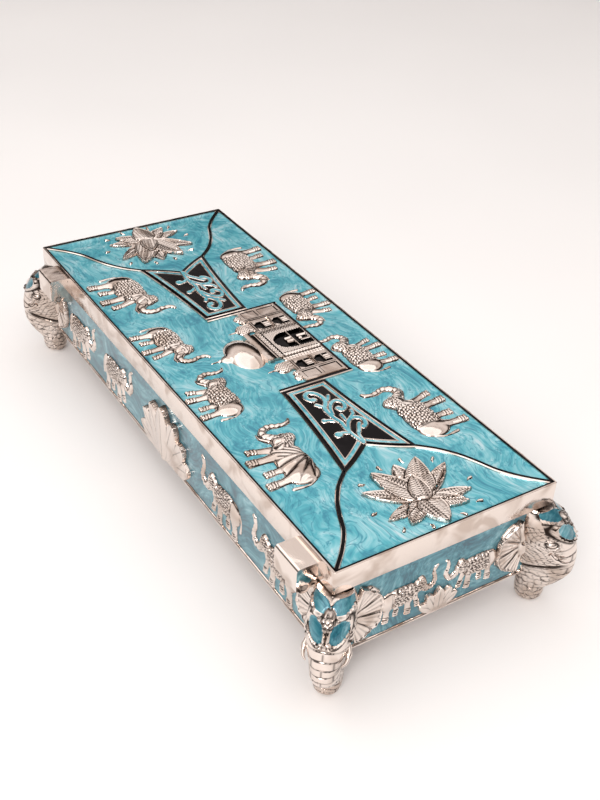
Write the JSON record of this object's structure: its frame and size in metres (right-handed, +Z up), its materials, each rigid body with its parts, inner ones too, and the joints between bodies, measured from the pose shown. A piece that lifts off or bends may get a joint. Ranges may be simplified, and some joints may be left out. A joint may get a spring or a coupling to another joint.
{
  "type": "dried fruit box",
  "caption": "Long low cast-metal box on elephant-head feet, with a hinged cap lid; relief figures stand out of teal enamel fields.",
  "frame": {"origin": "centre of the bounding box in plan, on the plane that the four feet stand on", "axes": "+X along the box's length, +Y towards the hinges at the back, +Z up"},
  "size_m": [0.3928, 0.1678, 0.0828],
  "materials": {
    "enamelled_body": "pearl teal enamel over plated casting",
    "enamelled_lid": "marbled pearl teal enamel over plated casting",
    "plated": "polished nickel plate",
    "pin_steel": "plain steel wire"
  },
  "bodies": {
    "box": {"box": "enamelled_body", "foot_front_left": "plated", "foot_front_right": "plated", "foot_back_left": "plated", "foot_back_right": "plated", "hinge_pin_left": "pin_steel", "hinge_pin_right": "pin_steel"},
    "lid": {"lid": "enamelled_lid", "hinge_arm_left": "plated", "hinge_arm_right": "plated"}
  },
  "joints": [
    {"name": "lid_hinge", "type": "hinge", "parent": "box", "child": "lid", "pos_m": [0, 0.0746, 0.0624], "axis": [-1, 0, 0], "range_deg": [0, 100]}
  ]
}
